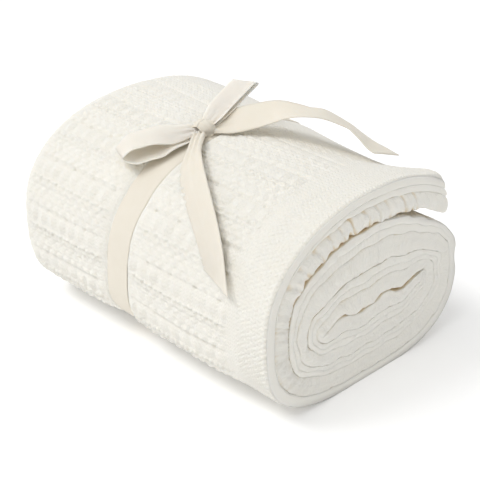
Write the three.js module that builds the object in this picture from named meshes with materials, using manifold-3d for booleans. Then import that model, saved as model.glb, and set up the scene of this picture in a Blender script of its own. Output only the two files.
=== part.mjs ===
// Swaddle blanket: a square of chunky cotton knit, folded in half twice to a pack of four layers,
// rolled up into a flattened oval and tied round with a ribbon that ends in a bow.
// Millimetres, +Z up. X is the roll's axis, -Y its front, and the free outer flap lies on top at the back.
import * as THREE from "three";
import { mergeVertices } from "three/addons/utils/BufferGeometryUtils.js";
import Module from "manifold-3d";

// The cloth and its fold.
const CLOTH_SIDE = 1000;
const LAYERS = 4;
const ROLL_LENGTH = CLOTH_SIDE / LAYERS;
const PACK = 22.8; // four layers with the air between them
const LAYER_GAP = 0.6;
const CLOTH = PACK / LAYERS - LAYER_GAP;
const FOLD_START = 13; // the layers run straight up to here from the far end
const SELVEDGE_ROUND = 2;
const EDGE_STEP = 3; // how far the hidden selvedge stays back from the outer one
const BORDER = 28; // plain border along the near selvedge

// The roll, counted in half turns from its inner end: even ones run under the core, odd ones over it.
const CORE_HALF = 30;
const TOP_POWER = 2.26;
const BOTTOM_POWER = 3.08;
const RINGS = 3;
const INNER_END = 0.3;
const OUTER_TURN = 3.5; // from here on the outer turn shows, and has twice the sections
const OUTER_END = 5.75;
const BACK_BENDS = [1.5, 3.5, 5.5]; // at the back the pack climbs over the turn before it
const SECTIONS = 14; // in half a turn
const FULLNESS = 0.06; // the far end is this much fuller
const SETTLE = 1.3; // the knit gives this much on the surface it rests on

// Softness: what is uneven in the real roll.
const LUMP = 0.012;
const RUFFLE = 0.09;
const RUFFLE_WAVES = 17;
const RAGGED = 1;
const FADE = 45; // ruffles die away over this length from the near end
const FLAP_START = 5.25;
const FLAP_LIFT = 0.03;
const FLAP_STAGGER = 0.055; // inner layers reach a little further than outer ones
const KNIT_RIB = 0.8;
const RIB_PITCH = 34.5;

// The ribbon: its band, its waist in the roll, and the bow.
const RIBBON = 22;
const RIBBON_THICK = 1;
const CLEARANCE = 0.4;
const BAND_X = -18;
const WAIST = 3;
const WAIST_FLAT = 13;
const WAIST_FADE = 38;
const KNOT = new THREE.Vector3(9, 8, 5);
const KNOT_Y = -4;
const STRIP_STEPS = 20;
const TAIL_CUT = 11; // the slant of a cut end

const { smoothstep, degToRad } = THREE.MathUtils;

const signedPower = (value, power) => Math.sign(value) * Math.abs(value) ** power;

// The ring on which the pack's inner face lies, in whole packs out from the core.
function packLevel(halfTurns) {
  const climbed = BACK_BENDS.map((start) => smoothstep(halfTurns, start, start + 1));
  return climbed.reduce((sum, part) => sum + part, 0);
}

// A point of the roll's cross-section on a ring, y and height over the surface below.
function ringPoint(level, angle) {
  const rise = Math.sin(angle);
  const power = 2 / (rise >= 0 ? TOP_POWER : BOTTOM_POWER);
  const y = (CORE_HALF + level * PACK) * signedPower(Math.cos(angle), power);
  const z = level * PACK * signedPower(rise, power);
  return { y, z: z + RINGS * PACK };
}

const fullness = (x) => 1 + (FULLNESS * (ROLL_LENGTH / 2 - x)) / ROLL_LENGTH;

// A point of the rolled cloth: x along the axis, share from the pack's inner face (0) to its outer one (1).
// near is 1 at the ruffled near end and falls to 0 inside, and dent pushes the face in.
function rollPoint({ x, halfTurns, share, near = 0, phase = 0, dent = 0 }) {
  const end = smoothstep(halfTurns, FLAP_START, OUTER_END);
  const travel = halfTurns + end * FLAP_STAGGER * (0.5 - share);
  const angle = -Math.PI * travel;
  const inner = packLevel(travel) + FLAP_LIFT * end;
  let level = inner + share * smoothstep(travel, -0.5, 0.5);
  level += near * RUFFLE * Math.sin(Math.PI * level) ** 2 * Math.sin(RUFFLE_WAVES * angle + phase);
  level *= 1 + LUMP * Math.max(0, Math.sin(angle)) * Math.sin(3 * angle + x / 45);
  const { y, z } = ringPoint(level - dent / PACK, angle);
  const ragged = near * RAGGED * Math.sin(5 * angle + phase);
  const full = fullness(x);
  return new THREE.Vector3(x + ragged, y * full, Math.max(0, z * full - SETTLE));
}

// How deep the taut ribbon sinks into the outer face.
function waistAt(x) {
  const away = Math.abs(x - BAND_X);
  return WAIST * (1 - smoothstep(away, WAIST_FLAT, WAIST_FADE));
}

// The folded pack seen along the winding: one back-and-forth outline of the four layers.
// Layers from inside out: 0 and 1 share the near fold, 1 and 2 the inner far fold, 0 and 3 the outer far fold.
function packOutline() {
  const nearEnd = ROLL_LENGTH / 2;
  const farEnd = -nearEnd;
  const straight = farEnd + FOLD_START;
  const gap = LAYER_GAP / 2 / PACK;
  const low = (layer) => layer / LAYERS + gap;
  const high = (layer) => (layer + 1) / LAYERS - gap;
  const rows = [];
  const add = (x, share, phase, outer = false) => {
    const near = smoothstep(x, nearEnd - FADE, nearEnd);
    rows.push({ x, share, phase, near, outer });
  };
  const arc = (x, reach, from, to, steps, phase) => {
    for (let i = 1; i < steps; i++) {
      const turn = (Math.PI * i) / steps;
      add(x + reach * Math.sin(turn), (from + to) / 2 + ((from - to) / 2) * Math.cos(turn), phase);
    }
  };
  const run = (xs, share, phase, outer) => xs.forEach((x) => add(x, share, phase, outer));

  const outerXs = [nearEnd - SELVEDGE_ROUND, nearEnd - BORDER, 45];
  outerXs.push(BAND_X + WAIST_FADE, BAND_X + WAIST_FLAT, BAND_X - WAIST_FLAT, BAND_X - WAIST_FADE);
  outerXs.push(straight);
  const inside = [straight, nearEnd - FADE];
  const outwards = [...inside].reverse();
  const foldNear = nearEnd - PACK / LAYERS;
  const hidden = nearEnd - EDGE_STEP;

  run(outerXs, high(3), 0, true);
  arc(straight, -FOLD_START, high(3), low(0), 5, 0);
  run([...inside, foldNear], low(0), 2);
  arc(foldNear, PACK / LAYERS, low(0), high(1), 3, 2);
  run([foldNear, ...outwards], high(1), 2);
  add(straight - FOLD_START + 2 * CLOTH + LAYER_GAP, 0.5, 0);
  run([...inside, hidden - SELVEDGE_ROUND], low(2), 1);
  add(hidden, (low(2) + high(2)) / 2, 1);
  run([hidden - SELVEDGE_ROUND, ...outwards], high(2), 1);
  arc(straight, CLOTH + LAYER_GAP - FOLD_START, high(2), low(1), 3, 0);
  run([...inside, foldNear], low(1), 2);
  add(foldNear + LAYER_GAP, 1 / LAYERS, 2);
  run([foldNear, ...outwards], high(0), 2);
  arc(straight, CLOTH - FOLD_START, high(0), low(3), 3, 0);
  run([...inside, nearEnd - SELVEDGE_ROUND], low(3), 0);
  add(nearEnd, (low(3) + high(3)) / 2, 0);
  return rows;
}

// Half turns at which the pack is cut, the same angles in each turn.
function windingStations() {
  const stations = [INNER_END];
  for (let step = 1; step < OUTER_END * SECTIONS * 2; step++) {
    const halfTurns = step / SECTIONS / 2;
    const coarse = step % 2 === 0;
    if (halfTurns > INNER_END + 0.02 && halfTurns < OUTER_END - 0.02 && (coarse || halfTurns > OUTER_TURN)) {
      stations.push(halfTurns);
    }
  }
  stations.push(OUTER_END);
  return stations;
}

// Length along the outer face at each station, from the free end inwards, for the knit's ribs.
function lengthsFromFlap(stations) {
  const at = (halfTurns) => rollPoint({ x: 0, halfTurns, share: 1 });
  const lengths = new Array(stations.length).fill(0);
  for (let i = stations.length - 2; i >= 0; i--) {
    lengths[i] = lengths[i + 1] + at(stations[i]).distanceTo(at(stations[i + 1]));
  }
  return lengths;
}

// The rolled pack as one closed solid: the outline carried along the winding, with a cap at each end.
function blanketGeometry() {
  const outline = packOutline();
  const stations = windingStations();
  const lengths = lengthsFromFlap(stations);
  const count = outline.length;
  const positions = [];
  stations.forEach((halfTurns, s) => {
    outline.forEach((row) => {
      const shows = row.outer && halfTurns > OUTER_TURN;
      const knit = shows && row.x < ROLL_LENGTH / 2 - BORDER;
      const rib = knit ? KNIT_RIB * Math.cos((Math.PI * lengths[s]) / RIB_PITCH) ** 2 : 0;
      const dent = shows ? waistAt(row.x) + KNIT_RIB - rib : 0;
      const point = rollPoint({ ...row, halfTurns, dent });
      positions.push(point.x, point.y, point.z);
    });
  });
  const index = [];
  for (let s = 0; s + 1 < stations.length; s++) {
    for (let i = 0; i < count; i++) {
      const a = s * count + i;
      const b = s * count + ((i + 1) % count);
      index.push(a, b + count, b, a, a + count, b + count);
    }
  }
  const depth = (row) => row.share * PACK - (row.outer ? waistAt(row.x) : 0);
  const contour = outline.map((row) => new THREE.Vector2(row.x, depth(row)));
  const last = (stations.length - 1) * count;
  for (const [a, b, c] of THREE.ShapeUtils.triangulateShape(contour, [])) {
    index.push(a, b, c, last + a, last + c, last + b);
  }
  const geometry = new THREE.BufferGeometry();
  geometry.setAttribute("position", new THREE.Float32BufferAttribute(positions, 3));
  geometry.setIndex(index);
  return geometry;
}

// Convex hull of points in the section plane, counter-clockwise.
function convexHull(points) {
  const sorted = [...points].sort((a, b) => a.x - b.x || a.y - b.y);
  const turn = (o, a, b) => (a.x - o.x) * (b.y - o.y) - (a.y - o.y) * (b.x - o.x);
  const half = (list) => {
    const chain = [];
    for (const point of list) {
      while (chain.length > 1 && turn(chain.at(-2), chain.at(-1), point) <= 0) chain.pop();
      chain.push(point);
    }
    return chain.slice(0, -1);
  };
  return [...half(sorted), ...half(sorted.reverse())];
}

// Moves a convex outline out by a distance, each corner along the mean of its two edge normals.
function offsetOutline(hull, distance) {
  return hull.map((point, i) => {
    const before = hull.at(i - 1);
    const after = hull[(i + 1) % hull.length];
    const along = after.clone().sub(point).normalize();
    const arriving = point.clone().sub(before).normalize();
    const normal = new THREE.Vector2(along.y + arriving.y, -along.x - arriving.x).normalize();
    const reach = distance / Math.max(0.5, normal.dot(new THREE.Vector2(along.y, -along.x)));
    return point.clone().addScaledVector(normal, reach);
  });
}

// The outline that the taut ribbon follows: the hull of the roll across the ribbon's width.
function bandHull() {
  const points = [];
  const keep = (row) => {
    const point = rollPoint(row);
    points.push(new THREE.Vector2(point.y, point.z));
  };
  for (const x of [BAND_X - WAIST_FLAT, BAND_X, BAND_X + WAIST_FLAT]) {
    for (const halfTurns of windingStations().filter((turns) => turns > OUTER_TURN)) {
      keep({ x, halfTurns, share: 1, dent: WAIST });
    }
    for (let layer = 0; layer < LAYERS; layer++) {
      keep({ x, halfTurns: OUTER_END, share: layer / LAYERS });
    }
  }
  return convexHull(points);
}

// The band: a ring of ribbon all round the roll.
function bandGeometry() {
  const hull = bandHull();
  const shape = new THREE.Shape(offsetOutline(hull, CLEARANCE + RIBBON_THICK));
  shape.holes.push(new THREE.Path(offsetOutline(hull, CLEARANCE)));
  const ring = new THREE.ExtrudeGeometry(shape, { depth: RIBBON, bevelEnabled: false });
  const axes = new THREE.Matrix4().makeBasis(
    new THREE.Vector3(0, 1, 0),
    new THREE.Vector3(0, 0, 1),
    new THREE.Vector3(1, 0, 0),
  );
  return ring.applyMatrix4(axes).translate(BAND_X - RIBBON / 2, 0, 0);
}

// A flat strip of ribbon through rows of centre points, each with the direction across its width.
// cut slants the last end, and wide narrows the strip where the knot gathers it.
function stripGeometry(rows, cut = 0) {
  const centres = new THREE.CatmullRomCurve3(rows.map((row) => row.at));
  const acrosses = new THREE.CatmullRomCurve3(rows.map((row) => row.across));
  const widths = new THREE.CatmullRomCurve3(rows.map((row) => new THREE.Vector3(row.wide, 0, 0)));
  const positions = [];
  for (let i = 0; i <= STRIP_STEPS; i++) {
    const u = i / STRIP_STEPS;
    const centre = centres.getPoint(u);
    const along = centres.getTangent(u);
    const across = acrosses.getPoint(u);
    across.addScaledVector(along, -across.dot(along)).normalize();
    const normal = along.clone().cross(across);
    const half = (widths.getPoint(u).x * RIBBON) / 2;
    const slant = i === STRIP_STEPS ? cut : 0;
    for (const [side, face] of [[-1, -1], [1, -1], [1, 1], [-1, 1]]) {
      const corner = centre.clone().addScaledVector(across, side * half);
      corner.addScaledVector(normal, (face * RIBBON_THICK) / 2).addScaledVector(along, side * slant);
      positions.push(...corner.toArray());
    }
  }
  const index = [0, 2, 1, 0, 3, 2];
  for (let i = 0; i < STRIP_STEPS; i++) {
    for (let k = 0; k < 4; k++) {
      const a = i * 4 + k;
      const b = i * 4 + ((k + 1) % 4);
      index.push(a, b, b + 4, a, b + 4, a + 4);
    }
  }
  const end = STRIP_STEPS * 4;
  index.push(end, end + 1, end + 2, end, end + 2, end + 3);
  const geometry = new THREE.BufferGeometry();
  geometry.setAttribute("position", new THREE.Float32BufferAttribute(positions, 3));
  geometry.setIndex(index);
  return geometry;
}

const vector = (x, y, z) => new THREE.Vector3(x, y, z);

// Height of the band's outside at the knot.
function bandTop() {
  const hull = offsetOutline(bandHull(), CLEARANCE + RIBBON_THICK);
  return Math.max(...hull.map((point) => point.y));
}

// Rows for a strip that lies on the roll: x, angle round the section in degrees, lift over the face,
// and lean, by which its edge on the near side stands off the face.
function lyingRows(table) {
  const at = ({ x, degrees, lift }) =>
    rollPoint({ x, halfTurns: 6 - degrees / 180, share: 1, dent: -lift });
  const points = table.map(at);
  return table.map((row, i) => {
    const next = points[Math.min(i + 1, points.length - 1)];
    const along = next.clone().sub(points[Math.max(i - 1, 0)]).normalize();
    const round = at({ ...row, degrees: row.degrees + 1 }).sub(points[i]);
    const normal = round.cross(vector(1, 0, 0));
    const across = normal.cross(along).normalize().applyAxisAngle(along, degToRad(row.lean));
    return { at: points[i], across, wide: row.wide };
  });
}

// The bow: two loops and two tails that leave the knot.
function bowStrips() {
  const knot = vector(BAND_X, KNOT_Y, bandTop() + KNOT.z / 2);
  const row = (dx, dy, dz, across, wide = 1) => ({ at: knot.clone().add(vector(dx, dy, dz)), across, wide });
  const towardsNear = vector(0.69, -0.66, -0.28);
  const frontLoop = [
    row(0, 0, 2, towardsNear, 0.4),
    row(0, -20, 4, towardsNear, 0.85),
    row(-5, -44, 2, towardsNear),
    row(-11, -65, -3, towardsNear),
    row(-18, -77, -9, towardsNear),
    row(-17, -75, -14, towardsNear),
    row(-10, -63, -13, towardsNear),
    row(-4, -44, -6, towardsNear),
    row(0, -14, 1, towardsNear, 0.75),
    row(0, 0, 0, towardsNear, 0.4),
  ];
  const alongRoll = vector(1, 0.1, 0.1);
  const backLoop = [
    row(0, 0, 2, alongRoll, 0.4),
    row(-6, 16, 8, alongRoll, 0.85),
    row(-15, 34, 13, alongRoll),
    row(-21, 45, 12, alongRoll),
    row(-21, 46, 7, alongRoll),
    row(-14, 33, 5, alongRoll),
    row(-6, 16, 1, alongRoll, 0.85),
    row(0, 0, 0, alongRoll, 0.4),
  ];
  const backTail = [
    row(0, 0, 2, vector(-0.52, 0.67, 0.52), 0.4),
    row(11, 3, 4, vector(-0.52, 0.67, 0.52), 0.9),
    row(24, 12, 8, vector(-0.55, 0.68, 0.5)),
    row(39, 23, 13, vector(-0.72, 0.69, 0.06)),
    row(60, 37, 14, vector(-0.7, 0.67, -0.23)),
    row(75, 45, 8, vector(-0.69, 0.65, -0.32)),
    row(86, 52, -2, vector(-0.52, 0.73, -0.4)),
    row(99, 61, -9, vector(-0.24, 0.93, -0.27)),
  ];
  const frontTail = [
    row(0, -2, 1, vector(0.9, 0.4, 0), 0.4),
    ...lyingRows([
      { x: -11, degrees: 103, lift: 6, lean: 10, wide: 0.85 },
      { x: 1, degrees: 113, lift: 6, lean: 25, wide: 1 },
      { x: 29, degrees: 128, lift: 6, lean: 25, wide: 1 },
      { x: 51, degrees: 140, lift: 5, lean: 22, wide: 1 },
      { x: 70, degrees: 154, lift: 5, lean: 20, wide: 1 },
      { x: 83, degrees: 166, lift: 6, lean: 20, wide: 1 },
    ]),
  ];
  return [
    stripGeometry(frontLoop),
    stripGeometry(backLoop),
    stripGeometry(backTail, TAIL_CUT),
    stripGeometry(frontTail, TAIL_CUT),
  ];
}

// The knot that gathers band, loops and tails.
function knotGeometry() {
  const ball = new THREE.SphereGeometry(1, 14, 10).scale(KNOT.x, KNOT.y, KNOT.z);
  return ball.translate(BAND_X, KNOT_Y, bandTop() - RIBBON_THICK + KNOT.z);
}

const wasm = await Module();
wasm.setup();

// A closed geometry as a solid that can be joined to others.
function solidFrom(geometry) {
  const bare = new THREE.BufferGeometry();
  bare.setAttribute("position", geometry.getAttribute("position"));
  bare.setIndex(geometry.getIndex());
  const merged = mergeVertices(bare, 1e-3);
  return new wasm.Manifold(
    new wasm.Mesh({
      numProp: 3,
      vertProperties: merged.getAttribute("position").array,
      triVerts: new Uint32Array(merged.getIndex().array),
    }),
  );
}

// The ribbon: band, knot, loops and tails as the one length of tape they are.
function ribbonGeometry() {
  const pieces = [bandGeometry(), knotGeometry(), ...bowStrips()];
  const solid = pieces.map(solidFrom).reduce((whole, piece) => whole.add(piece));
  const mesh = solid.getMesh();
  const geometry = new THREE.BufferGeometry();
  geometry.setAttribute("position", new THREE.BufferAttribute(mesh.vertProperties, 3));
  geometry.setIndex(new THREE.BufferAttribute(mesh.triVerts, 1));
  return geometry;
}

function named(name, geometry, color, roughness) {
  const material = new THREE.MeshStandardMaterial({ color, roughness, metalness: 0 });
  geometry.computeVertexNormals();
  const mesh = new THREE.Mesh(geometry, material);
  mesh.name = name;
  return mesh;
}

const part = new THREE.Group();
part.add(named("blanket", blanketGeometry(), 0xede9de, 0.95));
part.add(named("ribbon", ribbonGeometry(), 0xded6c4, 0.7));

// The part stands on the middle of its footprint.
const box = new THREE.Box3().setFromObject(part);
const middle = box.getCenter(new THREE.Vector3());
part.children.forEach((mesh) => mesh.position.set(-middle.x, -middle.y, -box.min.z));

export default part;
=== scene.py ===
# Swaddle blanket: a metre square of chunky ivory knit, folded to a pack of four layers, rolled into a
# flattened oval and tied round with a cotton ribbon. Metres, +Z up, X along the roll, -Y its front.
import math

import bmesh
import bpy
import numpy as np
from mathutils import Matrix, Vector
from mathutils.geometry import convex_hull_2d


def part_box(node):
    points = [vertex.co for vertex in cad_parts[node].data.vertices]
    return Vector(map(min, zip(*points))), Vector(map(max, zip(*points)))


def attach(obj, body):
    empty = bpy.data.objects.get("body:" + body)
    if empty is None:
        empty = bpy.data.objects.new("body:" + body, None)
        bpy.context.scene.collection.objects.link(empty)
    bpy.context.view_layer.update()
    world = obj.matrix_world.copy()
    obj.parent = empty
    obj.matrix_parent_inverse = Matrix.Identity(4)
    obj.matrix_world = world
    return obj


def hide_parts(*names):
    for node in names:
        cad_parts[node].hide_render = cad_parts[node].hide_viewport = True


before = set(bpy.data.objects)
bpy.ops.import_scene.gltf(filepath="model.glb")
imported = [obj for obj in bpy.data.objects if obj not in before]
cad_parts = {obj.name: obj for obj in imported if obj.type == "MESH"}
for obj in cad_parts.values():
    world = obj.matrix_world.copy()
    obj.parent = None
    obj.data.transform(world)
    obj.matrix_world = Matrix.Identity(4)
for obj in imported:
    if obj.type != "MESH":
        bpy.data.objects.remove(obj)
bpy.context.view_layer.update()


# Blanket, outer layer over the front and the top: thick cotton knit with rows of eyelets, leaves, twin
# cords and scales, and a seed-stitch border along its edges. It is the outermost of the four folded
# layers and goes round the far end of the pack, where it tucks in under the turn below.

# The folded pack.
ROLL_LENGTH = 0.250
LAYERS = 4
PACK = 0.0228
LAYER_GAP = 0.0006
LAYER = PACK / LAYERS
CLOTH = LAYER - LAYER_GAP
INNERMOST, SECOND, THIRD, OUTERMOST = (LAYER * (number + 0.5) for number in range(LAYERS))
FOLD_START = 0.013
NEAR_END = ROLL_LENGTH / 2
FAR_STRAIGHT = FOLD_START - ROLL_LENGTH / 2
TUCK = 0.017

# The winding, counted in half turns from its inner end, and its section, which is flatter below.
RINGS = 3
OUTER_TURN = 3.5
OUTER_END = 5.75
OUTER_BACK = 6
BACK_BENDS = (1.5, 3.5, 5.5)
INNER_GROW = (-0.5, 0.5)
CORE_HALF = 0.0445
CORE_DROP = 0.0115
CORE_TILT = 0.04
SIDE_PACK = 0.017
FREE_LEVEL = 2.5
TOP_POWER = 2.26
BOTTOM_POWER = 3.08
BACK_POWER = 1.60
BACK_POWER_AT = (-0.11, 0.08)
BACK_ROUND = 0.026
BACK_ROUND_RISE = 0.36
BACK_ROUND_AT = (0.03, 0.10)
FULLNESS = 0.06
SETTLE = 0.0013
LUMP = 0.012
LUMP_WAVES = 3
LUMP_LENGTH = 0.045
FAR_ROUND = 0.004
FAR_ROUND_AT = (0.095, 0.125)
FAR_ROUND_SIDE = math.radians(150)

# The free end on top: its layers end one behind another, and its near corner stands up.
FLAP_START = 5.25
FLAP_LIFT = 0.03
FLAP_STAGGER = 0.10
FLAP_LEVEL = 0.75
FLAP_CORNER = 0.22
FLAP_CORNER_DEPTH = 0.4
CORNER_LIFT = 0.28
CORNER_LIFT_AT = (0.080, 0.116)
CORNER_TURN = 5.5
SHOULDER = 0.06
SHOULDER_TURNS = (3.44, 3.56, 3.62, 3.78)

# The near end, where the layers wave and a slit stays open at the core.
END_WAVE = 0.0013
END_WAVE_LENGTH = 0.0032
END_WAVE_FROM = 0.03
END_WAVE_LEVELS = (2.3, 2.9)
SLIT_OPEN = 0.04
SLIT_DEEP = 0.005
SLIT_GAPS = 17
SLIT_LEVEL = 0.5
SLIT_BEND = 0.0022
SLIT_BEND_LENGTH = 0.0062
SLIT_BEND_LEVEL = 1.5

# The roll's place in the frame.
RAGGED = 0.001
FRONT_REACH = 0.1035
blanket_low, blanket_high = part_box("blanket")
ROLL_MIDDLE = np.array([blanket_high[0] - NEAR_END - RAGGED, blanket_low[1] + FRONT_REACH, 0.0])


def smoothstep(value, low, high):
    share = np.clip((value - low) / (high - low), 0, 1)
    return share * share * (3 - 2 * share)


def signed_power(value, power):
    return np.sign(value) * np.abs(value) ** power


def rise_and_fall(value, places):
    """Swell from 0 at the first place to 1 between the middle two, and back to 0 at the last."""
    return smoothstep(value, places[0], places[1]) * (1 - smoothstep(value, places[2], places[3]))


def wobble(a, b, seed):
    """Smooth unevenness between -1 and 1 over two coordinates."""
    waves = np.sin(a + 1.3 * seed) + np.sin(0.83 * b + 2.1 * seed + 0.5 * np.sin(0.7 * a))
    waves = waves + np.sin(0.62 * a + 0.91 * b + 3.7 * seed) + np.sin(1.27 * a - 0.74 * b + 0.6 * seed)
    return waves / 4


def pack_level(half_turns):
    """Rings out from the core on which the pack's inner face lies."""
    return sum(smoothstep(half_turns, start, start + 1) for start in BACK_BENDS)


def roll_point(x, half_turns, depth):
    """Places in the roll for x along its axis, half turns, and depth from the pack's inner face."""
    share = depth / PACK
    inside = np.clip(share, 0, 1)
    end = smoothstep(half_turns, FLAP_START, OUTER_END)
    corner = FLAP_CORNER * np.clip(1 - inside / FLAP_CORNER_DEPTH, 0, 1) ** 2
    travel = half_turns + end * FLAP_STAGGER * (FLAP_LEVEL - inside - corner)
    angle = -math.pi * travel
    rise = np.sin(angle)
    out = np.cos(angle)

    near = smoothstep(x, *CORNER_LIFT_AT)
    lift = FLAP_LIFT * end + CORNER_LIFT * near * smoothstep(half_turns, CORNER_TURN, OUTER_END)
    lift = lift + SHOULDER * near * inside * rise_and_fall(half_turns, SHOULDER_TURNS)
    level = pack_level(travel) + lift + share * smoothstep(travel, *INNER_GROW)
    level = level * (1 + LUMP * np.maximum(0, rise) * np.sin(LUMP_WAVES * angle + x / LUMP_LENGTH))

    back_power = TOP_POWER + (BACK_POWER - TOP_POWER) * smoothstep(x, *BACK_POWER_AT)
    power = 2 / np.where(rise < 0, BOTTOM_POWER, np.where(out > 0, back_power, TOP_POWER))
    across = signed_power(out, power)
    tip = np.maximum(0, out) * (1 - smoothstep(np.abs(rise), 0, BACK_ROUND_RISE))
    across = across * (1 - BACK_ROUND * tip * smoothstep(x, *BACK_ROUND_AT))
    slit = SLIT_OPEN * np.maximum(0, np.sin(SLIT_GAPS * across)) * (1 - smoothstep(level, 0, SLIT_LEVEL))
    level = level + slit * smoothstep(x, NEAR_END - SLIT_DEEP, NEAR_END)

    free = np.maximum(0, level - FREE_LEVEL)
    full = 1 + FULLNESS * (NEAR_END - x) / ROLL_LENGTH
    y = (CORE_HALF + (level - free) * SIDE_PACK + free * PACK) * across * full
    bend = SLIT_BEND * np.sin(y / SLIT_BEND_LENGTH) * (1 - smoothstep(level, 0, SLIT_BEND_LEVEL))
    droop = (CORE_TILT * y - CORE_DROP) * (1 - smoothstep(level, 0, RINGS))
    z = (level * PACK * signed_power(rise, power) + RINGS * PACK) * full - SETTLE + bend + droop

    loose = END_WAVE * smoothstep(x, NEAR_END - END_WAVE_FROM, NEAR_END)
    loose = loose * (1 - smoothstep(level, *END_WAVE_LEVELS))
    y, z = (
        y + loose * wobble(y / END_WAVE_LENGTH, z / END_WAVE_LENGTH, 4.0),
        z + loose * wobble(z / END_WAVE_LENGTH, y / END_WAVE_LENGTH, 5.0),
    )
    far = smoothstep(-x, *FAR_ROUND_AT)
    x = x + FAR_ROUND * far * np.maximum(0, np.cos(angle - FAR_ROUND_SIDE)) + np.zeros_like(y)
    return np.stack([x, y, np.maximum(0, z)], axis=-1) + ROLL_MIDDLE


WINDING_SAMPLES = 4000
FACE_MARGIN = 0.1


def run_lengths(points):
    """Length along a line from its first point to each of its points."""
    return np.concatenate([[0], np.cumsum(np.linalg.norm(np.diff(points, axis=0), axis=1))])


def winding_table(start, end, depth):
    """Half turns and the length of cloth from the last of them inwards, measured at mid length."""
    half_turns = np.linspace(end, start, WINDING_SAMPLES)
    places = roll_point(np.zeros_like(half_turns), half_turns, depth)
    return half_turns, run_lengths(places)


FACE_TURNS, FACE_LENGTHS = winding_table(OUTER_TURN - FACE_MARGIN, OUTER_END, PACK)


def half_turns_at(length):
    return np.interp(length, FACE_LENGTHS, FACE_TURNS)


def length_at(half_turns):
    return np.interp(-half_turns, -FACE_TURNS, FACE_LENGTHS)


def outer_turns(degrees):
    """Half turns on the outer turn at a section angle, which counts from the back over the top."""
    return np.array(OUTER_BACK - degrees / 180)


# The knit's repeat, counted along the winding from a row of eyelets, and across it along the roll. What
# is uneven has its height, and the lengths of its waves across and along.
STITCH = 0.001
REPEAT = 0.0345
DRIFT_ACROSS = (0.0011, 0.017, 0.019)
DRIFT_ALONG = (0.0013, 0.021, 0.015)
UNEVEN = (0.0009, 0.016, 0.016)
LUMPS = (0.0001, 0.0013, 0.0013)
EYELET_ANGLE = 147
EYELET_ROW = length_at(outer_turns(EYELET_ANGLE))
EYELET_X = 0.003
EYELET_PITCH = 0.01075
EYELET_RADIUS = 0.0019
EYELET_DEPTH = 0.0018
EYELET_SMALL = 0.4
GROOVE_HALF = 0.0016
GROOVE_DEPTH = 0.0010
GROOVE_MEAN = 0.75
GROOVE_SPREAD = 0.5
GROOVE_SPREAD_LENGTH = 0.006
LEAF_AT = 0.0068
LEAF_HALF = (0.0047, 0.0060)
LEAF_TAPER = 0.3
LEAF_HEIGHT = 0.0020
STRAND_PITCH = 0.0029
STRAND_DEPTH = 0.2
CORDS_AT = (0.0138, 0.0174)
CORD_RADIUS = 0.0019
CORD_HEIGHT = 0.0021
CORD_WAVE = 0.0005
CORD_WAVE_LENGTH = 0.0088
CORD_TWIST = 0.0046
TWIST_DEPTH = 0.28
SCALE_ROWS = (0.0213, 0.0259, 0.0305)
SCALE_DRIFT = (0.0010, 0.0036, 0.003)
SCALE_PITCH = 0.0078
SCALE_HALF = (0.0041, 0.0031)
SCALE_HEIGHT = 0.0012
SCALE_LEAN = 0.5
BORDER = 0.028
BORDER_FADE = 0.004
PLAIN_STRIP = 0.006
SEED_PERIOD = 4 * STITCH
SEED_HEIGHT = 0.00055


def mound(distance):
    """Round swelling from 1 in the middle to 0 at a distance of 1."""
    inside = np.clip(1 - distance * distance, 0, 1)
    return inside ** 1.5


def from_nearest(value, pitch):
    """Signed distance to the nearest multiple of pitch, and which one that is."""
    which = np.round(value / pitch)
    return value - which * pitch, which


def uneven_size(first, second):
    """Size between 0.5 and 1.3 for one of a kind, told by its two numbers."""
    spread = np.mod(np.sin(first * 12.9898 + second * 78.233) * 43758.5453, 1)
    return 0.5 + 0.8 * spread


def unevenness(x, length, size, seed):
    height, across, along = size
    return height * wobble(x / across, length / along, seed)


def set_over(row):
    """Every second row of eyelets or leaves is set over by half a pitch."""
    return 0.5 * EYELET_PITCH * np.mod(row, 2)


def eyelet_rows(x, across, along):
    off, row = from_nearest(along, REPEAT)
    side, number = from_nearest(across - EYELET_X - set_over(row), EYELET_PITCH)
    groove = GROOVE_MEAN + GROOVE_SPREAD * wobble(x / GROOVE_SPREAD_LENGTH, row * 3.0, 7.0)
    opening = uneven_size(number, row) * (EYELET_SMALL + (1 - EYELET_SMALL) * np.mod(number, 2))
    relief = -GROOVE_DEPTH * groove * mound(off / GROOVE_HALF)
    return relief - EYELET_DEPTH * opening * mound(np.hypot(side, off) / EYELET_RADIUS)


def leaf_rows(across, along):
    off, row = from_nearest(along - LEAF_AT, REPEAT)
    side, number = from_nearest(across - EYELET_X - set_over(row) - EYELET_PITCH / 2, EYELET_PITCH)
    width = LEAF_HALF[0] * (1 - LEAF_TAPER * np.clip(off / LEAF_HALF[1], -1, 1))
    leaf = mound(np.hypot(side / width, off / LEAF_HALF[1]))
    strands = 1 - STRAND_DEPTH + STRAND_DEPTH * np.cos(2 * math.pi * side / STRAND_PITCH)
    return LEAF_HEIGHT * uneven_size(number, row + 7) * leaf * strands


def twin_cords(across, along):
    relief = 0
    for cord, place in enumerate(CORDS_AT):
        lean = 1 - 2 * cord
        wave = lean * CORD_WAVE * np.sin(2 * math.pi * across / CORD_WAVE_LENGTH)
        off, _ = from_nearest(along - place - wave, REPEAT)
        twist = 1 - TWIST_DEPTH + TWIST_DEPTH * np.cos(2 * math.pi * (across + lean * off) / CORD_TWIST)
        relief = relief + CORD_HEIGHT * mound(off / CORD_RADIUS) * twist
    return relief


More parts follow.
